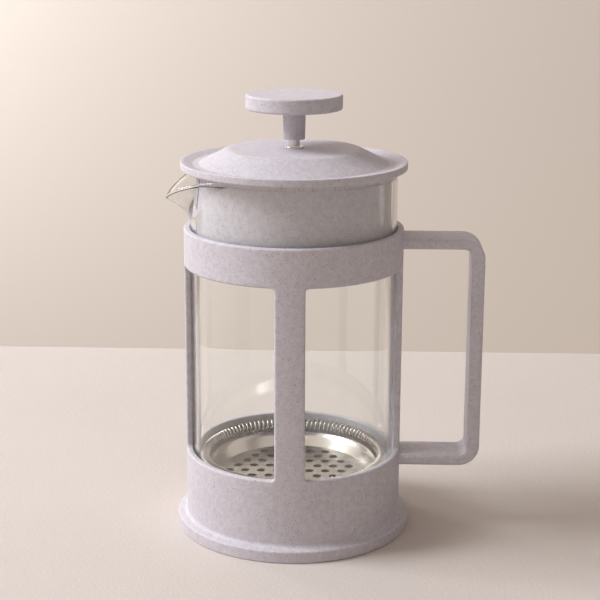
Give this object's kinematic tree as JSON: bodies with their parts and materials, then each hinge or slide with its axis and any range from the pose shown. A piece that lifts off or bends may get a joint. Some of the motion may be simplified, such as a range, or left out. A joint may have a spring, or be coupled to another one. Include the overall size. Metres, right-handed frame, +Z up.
{
  "type": "french press",
  "caption": "French press: clear glass beaker with a spout in a moulded strut holder with a strap handle, a domed lid with a skirt, and a knob, rod and spring-edged filter that press down.",
  "frame": {"origin": "On the beaker's axis, on the underside of the holder's floor, where it stands on the table.", "axes": "+Z up along the plunger rod; +X towards the handle; -X towards the spout; +Y completes the right-handed frame."},
  "size_m": [0.1377, 0.103, 0.1917],
  "materials": {
    "holder_plastic": "speckled straw-filled plastic, fine matt grain",
    "lid_plastic": "speckled straw-filled plastic, fine matt grain",
    "knob_plastic": "speckled straw-filled plastic, fine matt grain",
    "beaker_glass": "clear, fire-polished rim",
    "silicone": "soft translucent silicone",
    "polished_steel": "polished stainless steel",
    "filter_steel": "pressed stainless sheet",
    "spring_steel": "bright drawn spring wire",
    "screen_steel": "woven stainless wire cloth",
    "screw_steel": "zinc-plated",
    "insert_brass": "turned brass"
  },
  "bodies": {
    "holder": {"holder_frame": "holder_plastic", "handle": "holder_plastic", "handle_screws": "screw_steel", "beaker_cushion": "silicone"},
    "beaker": {"glass_beaker": "beaker_glass"},
    "ferrule": {"rod_ferrule": "polished_steel", "ferrule_washer": "polished_steel", "ferrule_nut": "polished_steel"},
    "lid": {"lid_cap": "lid_plastic", "lid_skirt": "lid_plastic"},
    "plunger": {"knob": "knob_plastic", "knob_insert": "insert_brass", "plunger_rod": "polished_steel", "stop_collar": "polished_steel", "spring_plate": "filter_steel", "coil_spring": "spring_steel", "mesh_screen": "screen_steel", "mesh_eyelet": "filter_steel", "cross_plate": "filter_steel", "cross_hub": "polished_steel"}
  },
  "joints": [
    {"name": "beaker_lift", "type": "slide", "parent": "holder", "child": "beaker", "axis": [0, 0, 1], "range_m": [0, 0.13]},
    {"name": "lid_lift", "type": "slide", "parent": "beaker", "child": "ferrule", "axis": [0, 0, 1], "range_m": [0, 0.15]},
    {"name": "lid_turn", "type": "hinge", "parent": "ferrule", "child": "lid", "pos_m": [0, 0, 0.16], "axis": [0, 0, 1], "continuous": true},
    {"name": "plunger_slide", "type": "slide", "parent": "ferrule", "child": "plunger", "axis": [0, 0, 1], "range_m": [0, 0.0874]}
  ]
}
